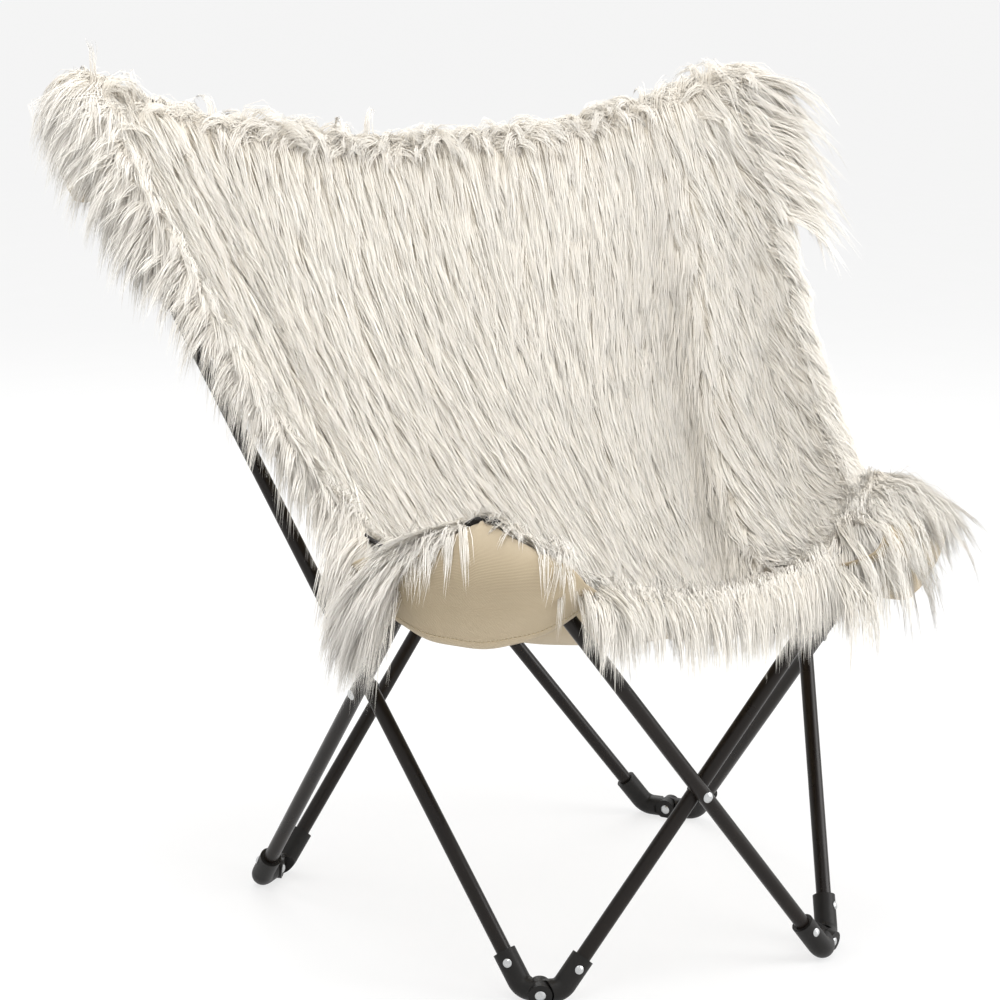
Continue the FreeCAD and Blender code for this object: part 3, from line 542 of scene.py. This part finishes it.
def plant(**given):
    """Add lock roots. A lock may splay to the side; one with a rise stands off the cloth from its root."""
    for name, values in coat.items():
        values.append(np.broadcast_to(np.asarray(given.get(name, 0.0), float), np.shape(given["over"])))


# The body of the pile stands in rows over the whole cloth, each lock a little off its place
row_count = round(np.linalg.norm(np.diff(sling[:, HALF], axis=0), axis=1).sum() / LOCK_SPACING)
for row in range(row_count):
    place = (row + 0.5) / row_count
    at_row = read(sling, np.linspace(0, 1, ROW_SAMPLES), np.full(ROW_SAMPLES, place))
    count = round(np.linalg.norm(np.diff(at_row, axis=0), axis=1).sum() / LOCK_SPACING)
    over = (np.arange(count) + 0.5 + chance.uniform(-STRAY, STRAY, count)) / count
    up = (place + chance.uniform(-STRAY, STRAY, count) / row_count).clip(0, 1)
    edge = np.exp(-(1 - over) / EDGE_FADE) - np.exp(-over / EDGE_FADE)
    over_pocket = (up < POCKET_UP) & (over < POCKET_OVER)
    plant(over=over, up=up, length=chance.uniform(0.065, 0.1, count) * np.where(over_pocket, POCKET_SHORT, 1),
          lift=chance.uniform(0.006, 0.011, count), splay=edge * chance.uniform(0.3, 1.4, count), weight=5)
# More locks along the front edge, from beside the left pocket on, make a fringe that hangs over the binding
count = FRONT_LOCKS
over = chance.random(count)
over = over[chance.random(count) < np.interp(over, (0.22, 0.3), (0, 1))]
count = len(over)
plant(over=over, up=chance.uniform(0, 0.02, count), lift=chance.uniform(0.006, 0.014, count), weight=6,
      length=chance.uniform(0.06, 0.1, count), splay=chance.normal(0, 0.15, count))
# Over the front left pocket it is thin, falls at once and lies on the canvas, longer to the middle
count = POCKET_LOCKS
over = chance.uniform(0.03, 0.29, count)
plant(over=over, up=chance.uniform(0, 0.012, count), lift=chance.uniform(0.006, 0.014, count),
      length=chance.uniform(0.075, 0.12, count) * np.interp(over, (0.05, 0.2), (0.6, 1)),
      splay=chance.normal(-0.3, 0.35, count), weight=chance.uniform(2, 5, count))
# On the left the fringe spreads out over the tube; on the right it is shorter and falls straight
for side, count, spread, long, heavy in (
        (0, 800, (0.8, 4), (0.085, 0.14), (0.4, 2.2)), (1, 560, (0.3, 1.3), (0.05, 0.085), (2, 4))):
    plant(over=np.abs(side - chance.uniform(0, 0.022, count)), up=chance.uniform(0.04, 1, count) ** 0.9,
          length=chance.uniform(*long, count), lift=chance.uniform(0.006, 0.016, count),
          splay=(2 * side - 1) * chance.uniform(*spread, count), weight=chance.uniform(*heavy, count))
# Long locks hang from the low part of the left wing, beside the pocket
count = LOW_LOCKS
plant(over=chance.uniform(0, 0.02, count), up=chance.uniform(0.12, 0.4, count), splay=-chance.uniform(2, 5, count),
      length=chance.uniform(0.14, 0.2, count), lift=chance.uniform(0.006, 0.014, count),
      weight=chance.uniform(0.9, 2.4, count))
# Tufts and curls stand up along the top edge and fall over it to both sides; longer ones stand at the top corners
count = CROWN_LOCKS
plant(over=chance.random(count), up=chance.uniform(0.985, 1, count), length=chance.uniform(0.03, 0.07, count),
      rise=chance.uniform(0.8, 1.6, count), lean=np.where(chance.random(count) < 0.6, 0.6, -0.4),
      curl=chance.normal(0, 0.55, count), weight=chance.uniform(2.4, 4.8, count))
for side in (0, 1):
    count = TOP_CORNER_LOCKS
    reach = np.abs(chance.normal(0, 0.05, (2, count)))
    plant(over=np.abs(side - reach[0]), up=1 - reach[1] * 0.8, length=chance.uniform(0.055, 0.1, count),
          rise=chance.uniform(0.2, 1, count), lean=chance.uniform(-0.2, 0.7, count), curl=chance.normal(0, 0.5, count),
          splay=(2 * side - 1) * chance.uniform(0.2, 1.4, count), weight=chance.uniform(2.2, 4.2, count))
# At three corners longer locks spread over the pocket; at the front left one the pile is short
for side, end, count in ((1, 0, 460), (0, 1, 420), (1, 1, 120)):
    over, up = chance.random(count) * 0.2, chance.random(count) * 0.02
    on_side = (chance.random(count) < 0.4) | (end == 1)
    over, up = np.where(on_side, up, over), np.where(on_side, over * 0.9, up)
    outward = np.where(on_side, chance.uniform(1, 4, count), chance.uniform(0, 1.2, count))
    heavy = np.where(on_side, chance.uniform(1, 3.2, count), chance.uniform(2, 5, count))
    plant(over=np.abs(side - over), up=np.abs(end - up), length=chance.uniform(0.095, 0.15, count),
          lift=chance.uniform(0.006, 0.014, count), splay=(2 * side - 1) * outward, weight=heavy)
over, up, length, lift, splay, rise, lean, curl, weight = (np.concatenate(values) for values in coat.values())
locks = len(over)
roots = np.stack((over, up), -1)
SWAY, SWAY_STRAY, FALL_PULL = 0.2, 0.09, 0.4
sway = SWAY * np.sin(9 * over + 5 * up) * np.sin(7 * up - 3 * over + 1) + chance.normal(0, SWAY_STRAY, locks)


def comb(over, up):
    """The way that the pile lies at a place, along the cloth, with the cloth's own steps there."""
    along_over, along_up, normal = (read(grid, over, up) for grid in (over_step, up_step, sling_normals))
    nap = -unit(along_up)
    fall = DOWN - (normal @ DOWN)[:, None] * normal
    way = nap + FALL_PULL * fall + np.tan(sway)[:, None] * unit(np.cross(nap, normal))
    way = way + splay[:, None] * unit(along_over)
    return unit(way), along_over, along_up, normal


PILE_OFF_POCKET, POCKET_NEAR, MOST_PUSH = 0.004, 0.045, 0.05
EDGE_REACH, EDGE_LIFT, EDGE_RISE, FACE_UP = 0.005, 0.003, 0.15, 0.5
LIFT_RATE, TIP_SETTLE, NO_SPREAD = 4, 0.25, 1e-12


def off_pockets(points):
    """Points moved out of the front pockets, to lie on their canvas."""
    points = points.copy()
    for face, outs in front_pocket_faces:
        low, high = face.min(0) - POCKET_NEAR, face.max(0) + POCKET_NEAR
        near = np.flatnonzero(((points > low) & (points < high)).all(1))
        gaps = points[near, None] - face
        nearest = (gaps ** 2).sum(2).argmin(1)
        gap, out = gaps[np.arange(len(near)), nearest], outs[nearest]
        depth = (gap * out).sum(1)
        beside = np.linalg.norm(gap - depth[:, None] * out, axis=1)
        push = (PILE_OFF_POCKET - depth).clip(0, MOST_PUSH)
        points[near] += out * np.where(beside < POCKET_NEAR, push, 0)[:, None]
    return points


# Each lock's line: on the cloth it follows the surface, past an edge it goes level and turns down by its weight
stands = rise > 0
free = stands
flow, along_over, along_up, normal = comb(over, up)
sideways = unit(np.cross(flow, normal))
start = rise[:, None] * unit(along_up) + lean[:, None] * normal + curl[:, None] * sideways
way = np.where(free[:, None], unit(start + splay[:, None] * unit(along_over)), flow)
place = read(sling, over, up) + normal * BACKING
facing = np.where((lean < 0)[:, None], -normal, normal)
guides, facings = [place], [facing]
carry = np.zeros(locks)
for share, step in zip(SHARES[1:], np.diff(SHARES)):
    reach = length * step + carry
    flow, along_over, along_up, normal = comb(over, up)
    across_all, mixed, up_all = (
        (first * second).sum(1)
        for first, second in ((along_over, along_over), (along_over, along_up), (along_up, along_up)))
    push_over, push_up = (flow * along_over).sum(1), (flow * along_up).sum(1)
    spread = across_all * up_all - mixed ** 2 + NO_SPREAD
    next_over = over + reach * (up_all * push_over - mixed * push_up) / spread
    next_up = up + reach * (across_all * push_up - mixed * push_over) / spread
    # A lock that leaves the cloth stops just past the edge in this step, and goes on from there in the next
    past = np.maximum.reduce([
        share_past for first, second in ((over, next_over), (up, next_up)) for share_past in (
            -second / np.maximum(first - second, TINY), (second - 1) / np.maximum(second - first, TINY))])
    leaves = (past > 0) & ~free
    to_edge = np.where(leaves, np.minimum(reach * (1 - past.clip(0, 1)) + EDGE_REACH, reach), reach)
    carry = reach - to_edge
    level = unit(unit(flow * (1, 1, 0)) + (0, 0, EDGE_RISE))
    turned = unit(way + (weight * step)[:, None] * DOWN)
    way = np.where(free[:, None], turned, np.where(leaves[:, None], level, flow))
    stays = ~(free | leaves)
    over, up = np.where(stays, next_over, over), np.where(stays, next_up, up)
    height = BACKING + lift * (1 - np.exp(-LIFT_RATE * share)) * (1 - TIP_SETTLE * share)
    lies = read(sling_normals, over, up)
    place = np.where(
        free[:, None], place + turned * reach[:, None],
        np.where(leaves[:, None], place + flow * to_edge[:, None] + normal * EDGE_LIFT,
                 read(sling, over, up) + lies * height[:, None]))
    # A hanging lock shows its face to the outside of the edge that it left
    facing = np.where(free[:, None], facing, np.where(leaves[:, None], unit(level + FACE_UP * normal), lies))
    free = free | leaves
    hangs = free & ~stands
    place[hangs] = off_pockets(place[hangs])
    guides.append(place)
    facings.append(facing)
guides, facings = np.stack(guides, 1), np.stack(facings, 1)

# The longest hairs stop at a box about the chair
PILE_LOW, PILE_HIGH = (-0.503, -0.395, 0), (0.503, 0.395, 0.938)
# Strands of a lock start side by side and draw a little together; a few stand off as loose hairs
lock = np.repeat(np.arange(locks), STRANDS)
count = len(lock)
turn, reach = chance.uniform(0, 2 * math.pi, count), LOCK_RADIUS * np.sqrt(chance.random(count))
LOOSE, LOOSE_OFF, LOOSE_SPREAD, DRAWN_IN = 0.06, 0.01, -0.3, 0.55
TRIM, WAVE_HIGH, CURL_HIGH, WAVE_TURNS, WAVE_STRAY = (0.62, 1.05), (0.0004, 0.0022), 0.006, (2, 7), 0.4
OUTWARD_STRAY, ROLL_STRAY, WIDE_STRAY, LOCK_TONE, STRAND_TONE = (-0.001, 0.0018), 0.25, (0.7, 1.2), 0.6, 0.4
loose = (chance.random(count) < LOOSE)[:, None]
drawn = 1 - np.where(loose, LOOSE_SPREAD, DRAWN_IN) * SHARES
trim = chance.uniform(*TRIM, count)[:, None]
tangents = np.gradient(guides, SHARES, axis=1)[lock]
ways = unit(tangents)
aside = unit(np.cross(ways, facings[lock]) + TINY)
wave = (chance.uniform(*WAVE_HIGH, locks) + CURL_HIGH * np.abs(curl))[lock][:, None] * SHARES
bend = SHARES * chance.uniform(*WAVE_TURNS, locks)[lock][:, None] + chance.uniform(0, 6.3, locks)[lock][:, None]
bend = bend + chance.normal(0, WAVE_STRAY, count)[:, None]
to_side = (reach * np.cos(turn))[:, None] * drawn + wave * np.sin(bend)
outward = chance.uniform(*OUTWARD_STRAY, count)[:, None] * SHARES ** 0.5 + loose * LOOSE_OFF * SHARES
lines = guides[lock] + tangents * (SHARES * (trim - 1))[..., None]
lines = lines + ways * ((reach * np.sin(turn))[:, None] * drawn)[..., None]
lines = lines + aside * to_side[..., None] + facings[lock] * outward[..., None]
lines = np.clip(lines, PILE_LOW, PILE_HIGH)
heading = unit(np.gradient(lines, axis=1))
across = unit(np.cross(heading, facings[lock]) + TINY)
outside = np.cross(across, heading)
roll = chance.normal(0, ROLL_STRAY, count)[:, None, None]
flat = np.cos(roll) * across + np.sin(roll) * outside
deep = np.cos(roll) * outside - np.sin(roll) * across
wide = (STRAND_WIDE / 2 * chance.uniform(*WIDE_STRAY, count)[:, None] * STRAND_TAPER)[..., None]
# A strand is a thin blade: a flat face outwards and a low keel under it, drawn to a point
body = lines[:, :-1]
rings = np.stack((body - flat[:, :-1] * wide, body + flat[:, :-1] * wide, body - deep[:, :-1] * STRAND_DEEP), 2)
strand_points = np.concatenate((rings.reshape(count, -1, 3), lines[:, -1:]), 1)
# The light on a strand is mostly that of the coat as a whole, so its normals lean to the outside
NORMAL_LEAN = 0.3
side_lean = NORMAL_LEAN * flat
strand_normals = unit(np.stack((deep - side_lean, deep + side_lean, -deep), 2))
strand_normals = np.concatenate((strand_normals[:, :-1].reshape(count, -1, 3), deep[:, -1:]), 1)
tones = chance.random(locks)[lock] * LOCK_TONE + chance.random(count) * STRAND_TONE
RINGS = len(SHARES) - 1
strand_quads = [
    [3 * ring + corner, 3 * ring + (corner + 1) % 3, 3 * ring + 3 + (corner + 1) % 3, 3 * ring + 3 + corner]
    for ring in range(RINGS - 1) for corner in range(3)]
last = 3 * (RINGS - 1)
strand_ends = [[0, 2, 1]] + [[last + (corner + 1) % 3, last + 3, last + corner] for corner in range(3)]
per_strand = 3 * RINGS + 1
point_share = np.append(np.repeat(SHARES[:-1], 3), 1)

# The pile is parted in ten bands from the front lip to the top, left and right, with like numbers of strands
PILE_BANDS = ("lip", "seat", "lap", "hollow", "lumbar", "back", "wing", "shoulder", "crown", "top")
pile_pieces = {corner: [] for corner in QUARTERS}
for number, band in enumerate(PILE_BANDS):
    for side in ("left", "right"):
        of_side = np.flatnonzero((roots[lock, 0] < 0.5) == (side == "left"))
        order = of_side[np.argsort(roots[lock[of_side], 1], kind="stable")]
        chosen = np.sort(np.array_split(order, len(PILE_BANDS))[number])
        starts = (np.arange(len(chosen)) * per_strand)[:, None, None]
        faces = (starts + np.array(strand_quads)).reshape(-1, 4).tolist()
        faces += (starts + np.array(strand_ends)).reshape(-1, 3).tolist()
        piece = new_piece("pile_%s_%s" % (band, side), strand_points[chosen].reshape(-1, 3).tolist(), faces, pile)
        for label, values in (
                ("along", np.tile(point_share, len(chosen))), ("tone", np.repeat(tones[chosen], per_strand))):
            piece.data.attributes.new(label, "FLOAT", "POINT").data.foreach_set("value", values)
        piece.data.normals_split_custom_set_from_vertices(strand_normals[chosen].reshape(-1, 3))
        corner = ("front_" if number < len(PILE_BANDS) // 2 else "back_") + side
        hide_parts("fur_cover")
        fold_with(piece, corner)
        pile_pieces[corner].append(piece)

for corner, quarter in QUARTERS.items():
    middle, normals = sling[quarter], sling_normals[quarter]
    piece = cloth("backing_" + corner, middle + normals * BACKING, middle, knit)
    wide, long, area = cut_size(middle)
    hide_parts("fur_cover")
    fold_with(piece, corner)

# Binding: black woven tape folded over the raw edges of pile fabric and lining and sewn through. It runs
# round the whole cover, so it is cut here at the seams between the quarters.
BINDING_GAP, BINDING_WIDE, BINDING_THICK, RIB = 0.0008, 0.006, 0.004, 0.0012
# Polyester twill tape: dull black with ribs across it, drawn 1.2 mm apart
tape, tree = new_finish("black_twill_tape")
flat_place = add(tree, "TexCoord").outputs["UV"]
ribs = add(tree, "TexWave", {"Vector": flat_place, "Scale": WAVE_BAND / RIB, "Distortion": 1},
           bands_direction="DIAGONAL").outputs["Fac"]
fluff = add(tree, "TexNoise", {"Vector": flat_place, "Scale": 1 / 0.004, "Detail": 4})
dye = add(tree, "MixRGB", {"Fac": fluff, "Color1": linear("#151312"), "Color2": linear("#2B2826")})
matt = add(tree, "MapRange", {"Value": ribs, "To Min": 0.9, "To Max": 0.7})
bump = add(tree, "Bump", {"Height": ribs, "Strength": 0.5, "Distance": 0.0005})
surface = add(tree, "BsdfPrincipled", {"Base Color": dye, "Roughness": matt, "Normal": bump, "Sheen Weight": 0.1})
add(tree, "OutputMaterial", {"Surface": surface})
TAPE_SIDES, TAPE_ROUND, TAPE_STEP = 12, 0.6, 0.0016
TAPE_TURN = np.linspace(0, 2 * math.pi, TAPE_SIDES + 1)[:-1]


def tape_along(name, edge, away, normals):
    """A closed tape with rounded sides along an edge of the cloth."""
    middle = edge + away * (BINDING_GAP + BINDING_WIDE / 2)
    wide = np.sign(np.cos(TAPE_TURN)) * np.abs(np.cos(TAPE_TURN)) ** TAPE_ROUND * BINDING_WIDE / 2
    thick = np.sign(np.sin(TAPE_TURN)) * np.abs(np.sin(TAPE_TURN)) ** TAPE_ROUND * BINDING_THICK / 2
    points = middle[:, None] + wide[:, None] * away[:, None] + thick[:, None] * normals[:, None]
    rows, columns = points.shape[:2]
    index = np.arange(rows * columns).reshape(rows, columns)
    after = np.roll(index, -1, axis=1)
    faces = np.stack((index[:-1], index[1:], after[1:], after[:-1]), -1).reshape(-1, 4).tolist()
    faces += [index[0].tolist(), index[-1, ::-1].tolist()]
    piece = new_piece(name, points.reshape(-1, 3).tolist(), faces, tape)
    run = run_along(middle)
    lay_flat(piece, np.stack(np.broadcast_arrays(run[:, None], np.arange(columns) * TAPE_STEP), -1).reshape(-1, 2))
    return piece


def off_edge(line, normals, inner):
    """Ways out of the cloth at an edge, square to it."""
    away = unit(np.cross(np.gradient(line, axis=0), normals))
    return np.where(((away * (line - inner)).sum(1) < 0)[:, None], -away, away)


for corner, (rows, columns) in QUARTERS.items():
    end, side = corner.split("_")
    column, next_column = (0, 1) if side == "left" else (-1, -2)
    row, next_row = (0, 1) if end == "front" else (-1, -2)
    for name, edge, inner, normals in (
            ("side", sling[rows, column], sling[rows, next_column], sling_normals[rows, column]),
            ("end", sling[row, columns], sling[next_row, columns], sling_normals[row, columns])):
        piece = tape_along("binding_%s_%s" % (name, corner), edge, off_edge(edge, normals, inner), normals)
        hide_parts("edge_binding")
        fold_with(piece, corner)

# Floor: a seamless pale sweep that stays white to the camera and keeps the chair's soft shadow
FLOOR_HALF, FLOOR_LEVEL, FLOOR_GLOW = 60, -0.0005, 0.72
paper, tree = new_finish("white_studio_floor")
place = add(tree, "TexCoord").outputs["Object"]
grain = add(tree, "TexNoise", {"Vector": place, "Scale": 8, "Detail": 2})
pale = add(tree, "MixRGB", {"Fac": grain, "Color1": linear("#F4F4F3"), "Color2": linear("#FAFAFA")})
lit = add(tree, "BsdfPrincipled", {"Base Color": pale, "Roughness": 0.9})
rays = add(tree, "LightPath")
seen = add(tree, "Math", {0: rays.outputs["Is Camera Ray"], 1: rays.outputs["Is Glossy Ray"]}, operation="MAXIMUM")
seen = add(tree, "Math", {0: seen, 1: rays.outputs["Is Transmission Ray"]}, operation="MAXIMUM")
share = add(tree, "Math", {0: seen, 1: FLOOR_GLOW}, operation="MULTIPLY")
white = add(tree, "Emission", {"Color": (1, 1, 1, 1), "Strength": 1})
mixed = add(tree, "MixShader", {0: share, 1: lit.outputs[0], 2: white.outputs[0]})
add(tree, "OutputMaterial", {"Surface": mixed})
corners = [(x * FLOOR_HALF, y * FLOOR_HALF, FLOOR_LEVEL) for x, y in ((-1, -1), (1, -1), (1, 1), (-1, 1))]
floor = new_piece("floor", corners, [[0, 1, 2, 3]], paper, smooth=False)

# Light: a white room with a large soft lamp overhead, one in front on the right and a weaker one behind
ROOM_GLOW, LAMP_AIM = 0.7, Vector((0, 0, 0.5))
world = bpy.data.worlds.new("studio")
bpy.context.scene.world = world
world.use_nodes = True
tree = world.node_tree
tree.nodes.clear()
rays = add(tree, "LightPath")
seen = add(tree, "Math", {0: rays.outputs["Is Camera Ray"], 1: rays.outputs["Is Glossy Ray"]}, operation="MAXIMUM")
glow = add(tree, "MapRange", {"Value": seen, "To Min": ROOM_GLOW, "To Max": 1})
sky = add(tree, "Background", {"Color": (1, 1, 1, 1), "Strength": glow.outputs["Result"]})
add(tree, "OutputWorld", {"Surface": sky})
# For each lamp: its place, its width and its power
LAMPS = {
    "key_lamp": ((-0.6, -0.7, 4.3), 2.2, 104),
    "fill_lamp": ((2.6, -1.9, 1.7), 2.2, 70),
    "back_lamp": ((0.6, 2.4, 2.6), 1.8, 42),
}
for name, (spot, wide, power) in LAMPS.items():
    lamp = bpy.data.objects.new(name, bpy.data.lights.new(name, "AREA"))
    bpy.context.scene.collection.objects.link(lamp)
    lamp.data.size = wide
    lamp.data.energy = power
    lamp.location = spot
    lamp.rotation_mode = "QUATERNION"
    lamp.rotation_quaternion = (LAMP_AIM - lamp.location).to_track_quat("-Z", "Y")
bpy.context.scene.view_settings.view_transform = "Standard"
